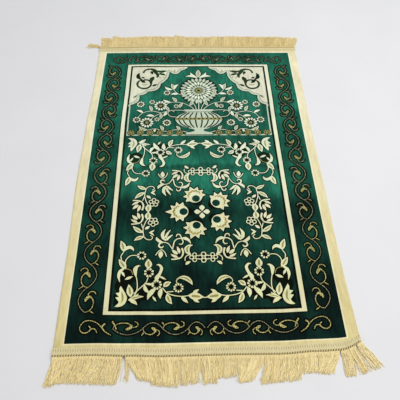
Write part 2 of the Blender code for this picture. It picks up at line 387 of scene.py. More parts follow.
def border_scroll():
    """The scrolls of the right band and of the right half of both end bands."""
    parts = []
    pitch = 2 * SCROLL_REACH / SCROLL_BAYS
    for k in range(SCROLL_BAYS):
        bright = k < BRIGHT_BAYS
        bay = scroll_bay(pitch, SCROLL_SWING, "gold" if bright else "bronze", "gold",
                         0.95 if bright else 1.05, SCROLL_HALO if bright else DIM_HALO)
        start = k * pitch - SCROLL_REACH
        outward = -1.0 if k % 2 == 0 else 1.0
        start, along = (start, 1.0) if k < SCROLL_BAYS // 2 else (start + pitch, -1.0)
        parts += moved(bay, (SCROLL_X, start), 90.0, hand=(along, outward))
    for end_y, up, yarn, weight in END_ROWS:
        row = []
        for k, (far_x, near_x) in enumerate(END_BAYS):
            over = 1.0 if k % 2 == 0 else -1.0
            row += moved(scroll_bay(far_x - near_x, END_SWING, yarn, yarn, weight, SCROLL_HALO),
                         (far_x, 0.0), hand=(-1.0, over))
        for rows in END_CURLS:
            row += plume(np.array(rows) * (1.0, 1.0, weight), yarn, halo=SCROLL_HALO)
        parts += moved(row, (0.0, end_y), hand=(1.0, up))
    return both_sides(parts)


pattern += border_scroll()


# Flowers of the lower field. A quarter is drawn in u, outwards from the middle line, and v, away
# from the line about which the field mirrors; the other three quarters are its mirror images.
LEAVES = [                     # u and v of the foot and of the tip, width, bend, 1 for a vein
    # bud and lily beside the corner's half blossom
    (178, 242, 185, 209, 16, 0, 1), (184, 249, 160, 233, 8, -0.1, 0),
    (184, 250, 147, 241, 9, 0.08, 1), (182, 250, 162, 262, 9, 0.12, 0),
    # small ones at the side, and the two buds on their stem
    (195, 196, 176, 188, 7, 0, 0), (205, 174, 196, 189, 6, 0, 0), (194, 168, 214, 141, 15, 0, 1),
    (203, 120, 213, 88, 15, -0.06, 1), (138, 168, 140, 140, 18, 0, 1),
    # round the star flower
    (124, 210, 147, 207, 6, 0, 0), (146, 209, 132, 231, 9, -0.2, 0),
    (118, 220, 138, 249, 12, -0.12, 0), (126, 240, 117, 253, 5, 0, 0),
    (104, 219, 107, 246, 11, -0.1, 0), (100, 216, 82, 204, 13, 0.1, 1),
    (112, 187, 94, 197, 5, 0, 0),
    # along the stem to the middle, and the arrow blossom
    (91, 233, 79, 260, 13, -0.1, 1), (58, 241, 41, 258, 9, 0, 0), (41, 239, 3, 244, 19, 0, 1),
    (29, 241, 14, 224, 9, 0.12, 0), (29, 240, 14, 257, 9, -0.12, 0),
    # round the wreath, and on the side vine
    (46, 158, 33, 149, 8, 0.1, 0), (108, 117, 110, 139, 12, 0, 0), (153, 76, 179, 88, 11, -0.06, 1),
    (156, 64, 184, 43, 12, 0.08, 1), (141, 64, 127, 74, 5, 0.1, 0), (141, 64, 127, 55, 5, -0.1, 0),
    (152, 54, 139, 44, 8, 0, 0), (146, 24, 145, -1, 17, 0, 1),
]
STEMS = [
    [(178, 246), (168, 235), (164, 218), (165, 202), (168, 188)],
    [(207, 143), (209, 132), (203, 120)],
    [(197, 157), (196, 144), (188, 133), (178, 130), (168, 131)],
    [(172, 234), (160, 222), (147, 209), (142, 202), (138, 188)],
    [(103, 218), (92, 231), (76, 238), (55, 241), (38, 239)], [(92, 229), (76, 228)],
    [(12, 243), (0, 245)], [(32, 130), (41, 131), (47, 138), (47, 147)],
    [(122, 130), (115, 119), (107, 114), (99, 121), (94, 134)],
    [(80, 112), (88, 99), (95, 94), (106, 92)], [(154, 76), (157, 54), (152, 34), (146, 22)],
    [(154, 77), (146, 84), (136, 85), (131, 78), (137, 72)], [(158, 50), (162, 37)],
]
PLUMES = [                     # 1 for a vein, then u, v and width along the leaf
    # hooked leaf on the tall stem, curled leaf at the side, and the one over the upper bud
    (0, [(159, 159, 1), (166, 161, 6), (171, 169, 11), (170, 181, 7), (168, 190, 2)]),
    (0, [(198, 166, 4), (208, 174, 8), (211, 188, 7), (207, 203, 1)]),
    (0, [(202, 118, 2), (197, 110, 9), (188, 107, 9), (181, 111, 6), (178, 118, 1)]),
    # over the star flower, and over the small flower beside it
    (0, [(119, 157, 1), (112, 157, 5), (106, 166, 7.5), (110, 180, 7), (117, 192, 11),
      (118, 200, 6)]),
    (1, [(67, 208, 2), (69, 200, 2), (62, 193, 4), (52, 192, 10), (42, 196, 12), (34, 204, 8),
      (30, 212, 1)]),
    # over the wreath's tulip, with its two curls, and beside the bow of rings
    (0, [(79, 112, 3), (77, 102, 3), (74, 90, 3), (66, 83, 3), (56, 82, 3), (47, 82, 9),
      (38, 87, 7), (32, 98, 1)]),
    (0, [(56, 81, 3), (60, 71, 3), (67, 70, 3), (70, 77, 2)]),
    (0, [(55, 84, 3), (52, 92, 3), (56, 99, 3), (63, 98, 2)]),
    (1, [(27, 102, 1), (36, 104, 8), (42, 112, 14), (40, 122, 11), (33, 129, 3)]),
    # small lily and the leaf on its stem
    (0, [(96, 88, 3), (104, 79, 8), (105, 67, 9), (98, 53, 1)]),
    (0, [(98, 80, 6), (93, 68, 6), (85, 56, 2)]),
    (0, [(95, 86, 6), (88, 78, 6), (79, 71, 2)]),
    (0, [(121, 77, 1), (119, 84, 8), (112, 90, 8), (104, 93, 3)]),
    (0, [(104, 93, 3), (112, 96, 4), (114, 104, 4.5), (107, 108, 4), (102, 103, 2)]),
]
BLOSSOM = [
    (204, 213), (198, 222), (192, 232), (187, 243), (189, 254), (195, 262), (204, 266), (215, 266),
    (209, 260), (206, 253), (215, 243), (206, 241), (215, 232), (206, 230), (207, 221),
]
BLOSSOM_VEIN = [(201, 226), (195, 238), (195, 250), (202, 259), (199, 248), (201, 236)]
# Rounds of dark ground in all four corners, and rounds of painted shade at the near end alone: u, v
# and radius.
CORNER_SHADES = [(188, 187, 22), (128, 226, 20), (116, 208, 20), (98, 234, 8), (142, 212, 12)]
NEAR_END_PAINTED_SHADE = [
    (198, 213, 21), (180, 238, 20), (202, 240, 18), (206, 258, 13), (166, 250, 13), (146, 236, 15),
]
# Flowers in a quarter: u, v, radius and number of petals.
FLOWERS = [(157, 131, 11.5, 8), (137, 178, 12, 8), (117, 210, 12.5, 9), (64, 219, 12, 10)]
LOOP_FLOWERS = [(23, 137, 12.5, 4), (131, 31, 13.5, 5)]
TULIPS = [(53, 137), (160, 33)]
STEM_WIDTH = 2.5
CROWNS = [                     # x, y, the way its tip points in degrees, size, length of the tip
    (-59, -157, 180, 1.02, 8), (-19, -107, 112, 1, 2), (46, -125, 38, 1, 1), (46, -189, -38, 1, 1),
    (-19, -209, -112, 1, 3),
]
CROWN_SIDE = [                 # reach and angle of each point of half a rim
    (23, 19), (33, 37), (21.8, 53), (32.5, 71), (21.8, 86), (31, 104), (21.8, 118), (21.5, 134),
    (21.5, 150), (21.5, 165),
]
CROWN_SHADE = 15.0             # radius of a dark round inside of each crown, and its place on
CROWN_SHADE_OUT = 0.68         # the way out to it


def ray(angle):
    """A step of one along that angle."""
    return np.array([math.cos(angle), math.sin(angle)])


def rosette(centre, radius, petals, eye=0.46, yarn="cream"):
    """Short parted petals about a dark eye."""
    parts = disc(centre, radius + 1.8, "shadow", SHADOW, 18)
    parts += disc(centre, radius * eye, "shadow", EYE, 10)
    for k in range(petals):
        out = ray(2 * math.pi * (k + 0.5) / petals)
        parts += leaf(centre + out * radius * eye, centre + out * radius * 1.06,
                      4.2 * radius / petals, belly=0.62, yarn=yarn, halo=0.0)
    return parts


def loop_flower(centre, radius, petals):
    """Petals that are open rings round a small middle."""
    parts = []
    for k in range(petals):
        spot = centre + ray(2 * math.pi * k / petals + math.pi / 2) * radius * 0.62
        parts += disc(spot, radius * 0.48, "cream", BODY, 12, halo=2.0)
        parts += disc(spot, radius * 0.30, "shadow", VEIN, 10)
    return parts


def tulip(base):
    """A cup that opens away from the wreath's middle: one long petal round it and three inside."""
    parts = vine([(2, -27), (-1, -13), (5, 0), (17, 4), (29, 5)], 5.0, 0.7)
    parts += leaf((10, -1), (31, -11), 7, 0.08, yarn="blush")
    parts += leaf((11, -9), (28, -24), 9, 0.05)
    parts += leaf((8, -11), (15, -32), 8, -0.05, yarn="blush")
    parts += disc((9, -6), 6.0, "shadow", VEIN, 10)
    return moved(parts, base)


def crown(x, y, turn, size, tip):
    """A blossom with a toothed rim, a tan arc inside it, and a green eye near its back."""
    rim = [(32.5 + tip, 0.0)] + CROWN_SIDE + [(21.5, 180.0)]
    rim += [(reach, -angle) for reach, angle in CROWN_SIDE[::-1]]
    outline = np.array([reach * ray(math.radians(angle)) for reach, angle in rim])
    parts = [Patch(BODY, "cream", outline), Patch(SHADOW, "shadow", outline * 1.20),
             Patch(BODY, "border", outline * 0.86)]
    a = np.radians(np.linspace(-82.0, 82.0, 37))
    arc = np.stack([np.cos(a), np.sin(a)], axis=1) * (17.4 + 1.5 * np.cos(a * 11))[:, None]
    parts.append(Patch(VEIN, "gold", ribbon(arc, 0.8 + 1.5 * np.cos(a * 0.9))))
    parts += disc((-3.0, 0.0), 14.6, "cream", VEIN, 20) + disc((-8.8, 0.0), 11.0, "green", EYE, 18)
    return moved(parts, (x, y), turn, size)


def quarter():
    parts = [Patch(BODY, "cream", smooth(BLOSSOM, 2)), Patch(VEIN, "tan", np.array(BLOSSOM_VEIN)),
             Patch(SHADOW, "shadow", (np.array(BLOSSOM) - (202, 242)) * 1.12 + (201, 242))]
    for u, v, radius in CORNER_SHADES:
        parts += disc((u, v), radius, "shadow", SHADOW)
    parts += leaves(LEAVES)
    for vein, rows in PLUMES:
        parts += plume(rows, vein="tan" if vein else None)
    for points in STEMS:
        parts += vine(points, STEM_WIDTH, 0.9)
    parts += vine([(199, 168), (190, 168), (181, 173), (176, 184)], 1.8, 0.9, "tan")
    for u, v, radius, petals in FLOWERS:
        parts += rosette((u, v), radius, petals)
    for u, v, radius, petals in LOOP_FLOWERS:
        parts += loop_flower((u, v), radius, petals)
    for base in TULIPS:
        parts += tulip(base)
    return parts


def lower_field():
    one = quarter()
    parts = []
    for hand_x in (-1.0, 1.0):
        for hand_y in (-1.0, 1.0):
            parts += moved(one, (0.0, MIDDLE_Y), hand=(hand_x, hand_y))
        # painted shade: dark rounds at the near end alone, where the pile shows darker
        for u, v, radius in NEAR_END_PAINTED_SHADE:
            parts += disc((hand_x * u, MIDDLE_Y - v), radius, "shadow", SHADOW)
    for hand_y in (-1.0, 1.0):
        parts += loop_flower((0.0, MIDDLE_Y + hand_y * 137.0), 14.5, 4)
    for row in CROWNS:
        parts += crown(*row)
    for x, y, *_ in CROWNS:
        parts += disc((x * CROWN_SHADE_OUT, MIDDLE_Y + (y - MIDDLE_Y) * CROWN_SHADE_OUT),
                      CROWN_SHADE, "shadow", SHADOW, 18)
    middle = np.array([0.0, MIDDLE_Y])
    for k in range(4):
        out = ray(k * math.pi / 2)
        parts += leaf(middle + out * 2.0, middle + out * 21.5, 15.0, belly=0.58)
    return parts


pattern += lower_field()


# The niche at the far end: cream corners with a scalloped edge and dark scrolls in them, and under
# them a vase of flowers.
CUSPS = [(34, 434, 0), (58, 416, 3), (98, 411, 16), (126, 349, 9), (166, 312, 13), (194, 294, 5),
         (218, 250, 12), (219, 242, 0)]
EDGE_LINES = [(3.6, 2.9, "silver"), (8.2, 0.8, "leaf")]   # how far inside the edge, half width
EDGE_SHADE = 3.4
CORNER_SCROLLS = [             # yarn, then x, y and width along the scroll
    # upper curl with its branches, which point to the middle
    ("leaf", [(186, 402, 6), (184, 411, 6), (177, 419, 6), (165, 422, 7), (154, 419, 10),
      (147, 411, 14), (143, 403, 11), (138, 394, 8), (137, 386, 9), (140, 379, 3)]),
    ("leaf", [(147, 413, 4), (137, 412, 6), (128, 409, 11), (118, 411, 10), (106, 414, 2)]),
    ("leaf", [(138, 397, 4), (127, 398, 8), (118, 395, 9), (110, 391, 2)]),
    ("shadow", [(159, 412, 3), (158, 405, 10), (154, 396, 3)]),
    ("tan", [(117, 385, 5), (117, 378, 4)]),
    ("tan", [(129, 383, 5), (129, 376, 4)]),
    # leaf at the side, which runs on into the ring, and the small ones beside it
    ("shadow", [(199, 402, 2), (203, 393, 10), (202, 382, 13), (195, 372, 6)]),
    ("shadow", [(195, 374, 5), (190, 366, 9), (184, 359, 11), (177, 354, 2)]),
    ("leaf", [(192, 381, 3), (186, 379, 8), (180, 376, 3)]),
    ("leaf", [(196, 366, 5), (203, 354, 7), (202, 340, 6), (194, 330, 6), (182, 326, 7),
      (170, 328, 7), (161, 337, 6), (158, 349, 6), (161, 360, 6), (170, 367, 6), (184, 368, 6)]),
    ("leaf", [(150, 383, 5), (155, 374, 14), (159, 362, 11), (158, 350, 7)]),
    ("tan", [(188, 346, 3), (178, 343, 5), (170, 346, 4)]),
    ("leaf", [(137, 346, 3), (146, 342, 9), (154, 337, 3)]),
    ("leaf", [(202, 293, 2), (206, 289, 6), (210, 290, 2)]),
    ("tan", [(208, 286, 8), (212, 281, 6)]),
    ("tan", [(79, 420, 2), (82, 414, 4), (78, 408, 2)]),
]
SCROLL_FULLNESS = 1.12         # the corners' scrolls are this much wider than drawn
VASE = [                       # half width and y up the vase
    (42, 122), (39, 128), (17, 135), (15, 142), (37, 150), (58, 162), (70, 176), (73, 190),
    (62, 204), (44, 215), (39, 221), (49, 229),
]
BOWL = slice(4, 10)
VASE_RIBS = (-0.86, -0.66, -0.40, -0.14, 0.14, 0.40, 0.66, 0.86)
NICHE_STEMS = [
    [(8, 214), (22, 238), (52, 258), (86, 262), (108, 250)],
    [(5, 214), (14, 250), (40, 288), (66, 300), (84, 322)],
    [(20, 212), (56, 226), (100, 222), (138, 200), (156, 176)],
    [(34, 130), (70, 142), (106, 136), (134, 146), (160, 140)],
    [(118, 214), (150, 222), (176, 214), (190, 196)],
    [(71, 196), (90, 200), (98, 214), (88, 226), (77, 218)],
]
NICHE_LEAVES = [
    (30, 246, 22, 272, 11, 0.12, 1), (52, 258, 60, 236, 11, 0.1, 1), (72, 262, 88, 284, 12, 0.1, 1),
    (90, 262, 116, 274, 9, -0.1, 0), (22, 268, 6, 290, 9, -0.1, 0),
    (46, 293, 50, 322, 12, -0.14, 1), (66, 300, 92, 298, 10, 0.1, 0),
    (104, 221, 112, 200, 10, -0.1, 0), (96, 223, 110, 244, 11, 0.12, 1),
    (120, 211, 122, 188, 11, -0.1, 1), (140, 199, 166, 200, 10, 0.12, 0),
    (60, 139, 72, 158, 10, 0.12, 1), (88, 139, 98, 124, 8, -0.12, 0),
    (112, 138, 122, 160, 11, 0.12, 1), (134, 146, 150, 128, 8, -0.12, 0),
    (160, 140, 190, 132, 12, 0.16, 1), (160, 142, 186, 158, 11, -0.16, 1),
    (150, 222, 160, 246, 12, 0.12, 1), (176, 214, 198, 226, 9, 0.1, 0), (0, 380, 0, 420, 18, 0, 1),
    (2, 380, 26, 406, 11, -0.18, 0), (4, 377, 44, 384, 10, 0.16, 0), (84, 322, 92, 350, 13, 0.1, 1),
    (86, 322, 112, 336, 10, -0.16, 0), (80, 322, 66, 346, 10, -0.18, 0),
]
NICHE_FLOWERS = [
    (122, 246, 20, 12), (104, 306, 11, 8), (162, 172, 20, 12), (194, 184, 12, 8),
    (100, 172, 13, 10), (72, 244, 8, 8), (150, 262, 9, 8), (186, 252, 12, 9), (131, 186, 8, 7),
]
MARIGOLD_X = (60, 90, 120, 150, 180, 208)   # a row of low marigolds along the niche's foot
MARIGOLD_Y = 130
STAR = np.array([0.0, 316.0])  # the large star flower over the vase
# Its rings of petals: reach, petals, yarn, where they start, and the dark ground under the ring.
STAR_RINGS = [(62.0, 26, "silver", 0.62, 0.7), (44.0, 22, "cream", 0.52, 0.97),
              (26.0, 15, "silver", 0.45, 0.97)]


def scallops():
    """The corner's scalloped edge: arcs between cusps, each bulging by its third number."""
    runs = []
    for (x0, y0, _), (x1, y1, bulge) in zip(CUSPS, CUSPS[1:]):
        t = np.linspace(0.0, 1.0, 8)[:-1]
        run = np.array([x1 - x0, y1 - y0], float)
        side = np.array([run[1], -run[0]]) / np.linalg.norm(run)
        runs.append(np.array([x0, y0]) + np.outer(t, run) + np.outer(4 * bulge * t * (1 - t), side))
    return np.vstack(runs + [np.array([CUSPS[-1][:2]], float)])


def spandrel():
    edge = scallops()
    corner = np.array([(NICHE_X, y) for y in (242.0, 290.0, 340.0, 390.0, NICHE_TOP)]
                      + [(x, NICHE_TOP) for x in (170.0, 110.0)])
    parts = [Patch(BODY, "ground", np.vstack([edge, corner])),
             Patch(SHADOW, "shadow", ribbon(edge, EDGE_SHADE))]
    for away, half, yarn in EDGE_LINES:
        parts.append(Patch(VEIN, yarn, ribbon((edge + sideways(edge) * away)[3:-2], half)))
    for yarn, rows in CORNER_SCROLLS:
        scroll = plume(np.array(rows) * (1.0, 1.0, SCROLL_FULLNESS), yarn, halo=0.0)
        parts += [p._replace(level=VEIN) for p in scroll]
    return parts


def vase():
    side = smooth(VASE, 3)
    outline = np.vstack([side, (side * (-1.0, 1.0))[::-1]])
    middle = outline.mean(axis=0)
    parts = [Patch(BODY, "silver", outline),
             Patch(SHADOW, "shadow", (outline - middle) * (1.06, 1.05) + middle)]
    for share in VASE_RIBS:
        parts.append(Patch(VEIN, "shadow", ribbon(smooth(VASE[BOWL], 3) * (share, 1.0), 2.1)))
    parts.append(Patch(EYE, "gold", np.array([(-72, 183), (72, 183), (72.5, 193), (-72.5, 193)])))
    for k in range(-5, 6):
        parts += disc((k * 12.8, 188), 3.4, "shadow", EYE, 4)
    parts.append(Patch(VEIN, "shadow", np.array([(-41, 217), (41, 217), (40, 219), (-40, 219)])))
    return parts


def star_flower():
    parts = disc(STAR, 65.0, "shadow", SHADOW, 32)
    for ring, (radius, petals, yarn, inner, dark) in enumerate(STAR_RINGS):
        parts += disc(STAR, radius * dark, "shadow", BODY, 24)
        for k in range(petals):
            out = ray(2 * math.pi * (k + 0.5 * ring) / petals)
            parts += leaf(STAR + out * radius * inner, STAR + out * radius,
                          4.1 * radius / petals, belly=0.55, yarn=yarn, halo=0.0)
    return parts + disc(STAR, 11.0, "gold", VEIN) + disc(STAR, 4.4, "shadow", EYE, 8)


def niche():
    parts = spandrel()
    for points in NICHE_STEMS:
        parts += vine(points, 2.8, 0.8, "silver")
    parts += leaves(NICHE_LEAVES, "silver")
    for u, v, radius, petals in NICHE_FLOWERS:
        parts += rosette((u, v), radius, petals) + disc((u, v), radius * 0.27, "gold", EYE, 8)
    for x in MARIGOLD_X:
        parts += [p._replace(level=max(p.level, BODY)) for p in
                  rosette((x, MARIGOLD_Y), 10.5, 8, 0.34, "gold")]
        parts += disc((x, MARIGOLD_Y), 3.2, "tan", EYE, 8)
    parts = both_sides(parts) + vine([(0, 214), (0, 240), (0, 276)], 3.2, 1.0, "silver")
    return parts + star_flower() + vase()


pattern += niche()


def inside(points, outline):
    """Which points lie inside a closed outline, by its winding round them."""
    x, y = points[:, 0, None], points[:, 1, None]
    x0, y0 = outline[:, 0], outline[:, 1]
    x1, y1 = np.roll(x0, -1), np.roll(y0, -1)
    turn = (x1 - x0) * (y - y0) - (x - x0) * (y1 - y0)
    up = (y0 <= y) & (y1 > y) & (turn > 0)
    down = (y0 > y) & (y1 <= y) & (turn < 0)
    return (up.sum(axis=1) - down.sum(axis=1)) != 0


def cut_cloth():
    """Triangles of the flat cloth, cut along every outline, and the yarn of each."""
    outlines = [p.outline for p in pattern]
    for inset in RIM_INSETS:
        x, y = WIDTH / 2 - inset, LENGTH / 2 - inset
        outlines.append(box_outline(-x, -y, x, y))
    spots, edges = [], []
    for outline in outlines:
        first, count = len(spots), len(outline)
        spots += [Vector(p) for p in outline]
        edges += [(first + k, first + (k + 1) % count) for k in range(count)]
    margin = RIM_INSETS[-1] + 3.0
    for x in np.arange(-WIDTH / 2 + margin, WIDTH / 2 - margin, GRID_X):
        for y in np.arange(-LENGTH / 2 + margin, LENGTH / 2 - margin, GRID_Y):
            spots.append(Vector((x, y)))
    cut = delaunay_2d_cdt(spots, edges, [], 0, 1e-4, False)
    flat = np.array([tuple(v) for v in cut[0]])
    triangles = np.array([tuple(f) for f in cut[2]])
    centres = flat[triangles].mean(axis=1)
    yarns = np.full(len(triangles), YARNS.index("border"))
    for patch in sorted(pattern, key=lambda p: p.level):
        low, high = patch.outline.min(axis=0), patch.outline.max(axis=0)
        near = np.nonzero(((centres >= low) & (centres <= high)).all(axis=1))[0]
        yarns[near[inside(centres[near], patch.outline)]] = YARNS.index(patch.yarn)
    return flat, triangles, yarns


# How much of its paler side the pile shows along the rug: y and share. The rise from the near end
# to the far end is painted shade and light, and so are the dark and light steps on either side of
# each crease.
DARK_NAP_AND_SHADE = [
    (-540, 0), (-425, 0.06), (-340, 0.07), (-240, 0.26), (-160, 0.1), (-118, 0.22), (-88, 0.52),
    (-50, 0.84), (-18, 0.74), (-5, 0.4), (3, 0.62), (10, 0.98), (30, 0.8), (62, 0.58), (112, 0.5),
    (200, 0.64), (300, 0.8), (440, 0.78), (478, 0.66), (505, 0.5),
]
BAND_NAP_AND_SHADE = [                   # in the outer bands, where the pile lies flatter; the same painted shade and light
    (-540, 0), (-400, 0.02), (-230, 0.16), (-140, 0.14), (-95, 0.36), (-20, 0.38), (4, 0.6),
    (30, 0.42), (90, 0.38), (150, 0.5), (230, 0.76), (440, 0.8), (505, 0.5),
]
# The same for the pale yarns: painted shade toward the near end, painted light toward the far end.
PALE_NAP_AND_SHADE = [(-540, 0), (-350, 0.2), (-100, 0.55), (250, 1), (440, 0.88), (540, 0.72)]
MIXED_NAP = [(-540, 0.45), (540, 0.45)]
LEAF_NAP = [(-540, 0.3), (540, 0.3)]
NAP_END = 540.0
NAP_WANDER = 0.055             # a patch shows the nap of a place up to so many metres off
NAP_MEAN = 27                  # half of that in millimetres, which is its mean
PATCHES = (13.0, 6.5, 1.0)     # a metre holds so many patches, and so many streaks
STREAKS = (130.0, 26.0, 1.0)


def velour(name, near_end, far_end, nap_and_shade=PALE_NAP_AND_SHADE, mottle=0.10, dots=0.0):
    """Brushed polyester pile: matt, with a nap that shows lighter and darker in patches and in
    lengthwise streaks. Along the rug its colour runs from near_end to far_end by the nap table,
    which paints shade and light. Dots is the share of dark ground that shows between the pile's
    points."""
    material, tree, shader, place = new_material("velour_" + name)
    y = add(tree, "ShaderNodeSeparateXYZ", {"Vector": place}).outputs["Y"]
    wide = add(tree, "ShaderNodeMapping", {"Vector": place, "Scale": PATCHES})
    patch = add(tree, "ShaderNodeTexNoise", {
        "Vector": wide, "Scale": 1.0, "Detail": 5.0, "Roughness": 0.62})
    wander = add(tree, "ShaderNodeMath", {0: patch, 1: NAP_WANDER, 2: y}, operation="MULTIPLY_ADD")
    share = add(tree, "ShaderNodeMapRange", {
        "Value": wander, "From Min": -NAP_END * MM, "From Max": NAP_END * MM})
    # Painted shade and light along the rug: where the nap table changes with y, it darkens the near
    # end, lightens the far end and lays dark and light steps beside the creases.
    ramp = add(tree, "ShaderNodeValToRGB", {"Fac": share})
    stops = ramp.color_ramp.elements
    while len(stops) < len(nap_and_shade):
        stops.new(0.5)
    for stop, (at, pale) in zip(stops, nap_and_shade):
        stop.position = (at + NAP_MEAN + NAP_END) / (2 * NAP_END)
        stop.color = (pale, pale, pale, 1.0)
    uneven = add(tree, "ShaderNodeMapRange", {
        "Value": patch, "To Min": -mottle * 2.0, "To Max": mottle * 2.0}, clamp=False)
    reach = add(tree, "ShaderNodeMath", {0: ramp, 1: 0.4}, operation="ADD")
    along = add(tree, "ShaderNodeMath", {0: uneven, 1: reach, 2: ramp}, operation="MULTIPLY_ADD")
    base = add(tree, "ShaderNodeMix", {
        "Factor": along, "A": linear(near_end), "B": linear(far_end)}, data_type="RGBA")
    fine = add(tree, "ShaderNodeMapping", {"Vector": place, "Scale": STREAKS})
    streak = add(tree, "ShaderNodeTexNoise", {"Vector": fine, "Scale": 1.0, "Detail": 2.0})
    nap_mix = add(tree, "ShaderNodeMath", {0: patch, 1: streak}, operation="ADD")
    shade = add(tree, "ShaderNodeMapRange", {
        "Value": nap_mix, "From Min": 0.6, "From Max": 1.4,
        "To Min": 1.0 - mottle * 1.6, "To Max": 1.0 + mottle * 1.6})
    colour = add(tree, "ShaderNodeVectorMath", {0: base, "Scale": shade}, operation="SCALE")
    if dots:
        tufts = add(tree, "ShaderNodeTexVoronoi", {
            "Vector": place, "Scale": 250.0, "Randomness": 0.35})
        gaps = add(tree, "ShaderNodeMapRange", {
            "Value": tufts, "From Min": 0.26, "From Max": 0.5, "To Max": dots})
        colour = add(tree, "ShaderNodeMix", {
            "Factor": gaps, "A": colour, "B": linear("#14140c")}, data_type="RGBA")
    fibre = add(tree, "ShaderNodeTexNoise", {"Vector": place, "Scale": 1300.0, "Detail": 2.0})
    bump = add(tree, "ShaderNodeBump", {"Height": fibre, "Strength": 0.4, "Distance": 0.0006})
    feed(tree, shader, {
        "Base Color": colour, "Normal": bump, "Roughness": 0.92, "Specular IOR Level": 0.06})
    return material


def woven_backing():
    """Plain-woven polyester ground, seen only from below: a close square weave."""
    material, tree, shader, place = new_material("woven_polyester_backing")
    threads = add(tree, "ShaderNodeTexBrick", {
        "Vector": place, "Color1": linear("#c9c39c"), "Color2": linear("#b4ad83"),
        "Mortar": linear("#857f5c"), "Scale": 500.0})
    feed(tree, shader, {"Base Color": threads, "Roughness": 0.8})
    return material


CRISP_EDGE = math.radians(50)


def finished(name, bm):
    """The faces turned outwards and kept as an object, smooth but for its crisp edges."""
    bmesh.ops.recalc_face_normals(bm, faces=bm.faces[:])
    mesh = bpy.data.meshes.new(name)
    bm.to_mesh(mesh)
    bm.free()
    mesh.shade_smooth()
    mesh.set_sharp_from_angle(angle=CRISP_EDGE)
    return put(name, mesh)


def build_panel():
    flat, triangles, yarns = cut_cloth()
    x, y = flat[:, 0], flat[:, 1]
    top = np.stack([*lie(x, y), pile_height(x, y)], axis=1) * MM
    bm = bmesh.new()
    verts = [bm.verts.new(p) for p in top]
    for corners, yarn in zip(triangles, yarns):
        bm.faces.new([verts[k] for k in corners]).material_index = int(yarn)
    bmesh.ops.recalc_face_normals(bm, faces=bm.faces[:])
    rim = [edge for edge in bm.edges if edge.is_boundary]
    for item in bmesh.ops.extrude_edge_only(bm, edges=rim)["geom"]:
        if isinstance(item, bmesh.types.BMVert):
            item.co.z = 0.0
        elif isinstance(item, bmesh.types.BMFace):
            item.material_index = YARNS.index("border")
    hem = [edge for edge in bm.edges if edge.is_boundary]
    for face in bmesh.ops.contextual_create(bm, geom=hem)["faces"]:
        face.material_index = len(YARNS)   # the backing's slot, after those of the yarns
    return finished("velour_panel", bm)


# Each yarn has a colour at the near end and one at the far end; the change between them along the
# rug is painted light and shade, not a change of yarn.
PILE_YARNS = {                 # each yarn of the pattern and its pile
    "border": velour("cream_border", "#dacb90", "#eae2be"),
    "ivory": velour("ivory_line", "#e8dfb2", "#e9f0d6"),
    "stripe": velour("cream_stripe", "#dcd6a8", "#e4e8cc"),
    "green": velour("bottle_green", "#091b18", "#25745c", DARK_NAP_AND_SHADE, 0.30),
    "shadow": velour("black_brown", "#0a0a05", "#172d1b", DARK_NAP_AND_SHADE, 0.12),
    "cream": velour("cream_figure", "#d9d8a0", "#e1ecd4"),
    "tan": velour("tan_vein", "#978b4e", "#a2a676"),
    "silver": velour("silver_figure", "#c9cda8", "#c0cfb8"),
    "gold": velour("old_gold", "#d8d288", "#aca868", dots=0.70),
    "bronze": velour("bronze_line", "#bcbc92", "#8c947a", dots=0.75),
    "blush": velour("blush_figure", "#e0d8a6", "#e6e2cc"),
    "ground": velour("pale_ground", "#eedac4", "#c2dfc2", MIXED_NAP, 0.16),
    "leaf": velour("leaf_green", "#1f1a08", "#2b6640", LEAF_NAP, 0.25),
    "band": velour("band_green", "#091b18", "#25745c", BAND_NAP_AND_SHADE, 0.30),
}
YARNS = list(PILE_YARNS)
panel = build_panel()
for material in [*PILE_YARNS.values(), woven_backing()]:
    panel.data.materials.append(material)
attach(panel, "root")
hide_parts("pile_panel")

# The heading tapes. A narrow cream braid tape, woven flat, is sewn on each end of the panel and
# carries the strands; it lies on the pile and its outer edge reaches past the cut end.
TAPE_OUTER = 539.5
TAPE_WIDTH = 20.0
TAPE_BOTTOM = 4.8
TAPE_TOP = 6.2
TAPE_STEPS = 130
TAPE_SECTION = [               # how far in from the outer edge, and height
    (0.0, 5.3), (0.5, 6.0), (2.0, TAPE_TOP), (8.0, 6.1), (14.0, TAPE_TOP), (17.0, 6.0), (19.2, 5.4),
    (TAPE_WIDTH, 4.95), (19.6, TAPE_BOTTOM), (10.0, TAPE_BOTTOM), (0.4, TAPE_BOTTOM),
]
ENDS_OF_RUG = {"near": -1.0, "far": 1.0}


def floor_line(end, inset, height, steps, spare=0.0):
    """Points in metres along one end of the rug, that far in from the tape's outer edge."""
    x = np.linspace(-WIDTH / 2 + spare, WIDTH / 2 - spare, steps + 1)
    floor_x, floor_y = lie(x, np.full(steps + 1, end * (TAPE_OUTER - inset)))
    return np.stack([floor_x, floor_y, np.full(steps + 1, height)], axis=1) * MM


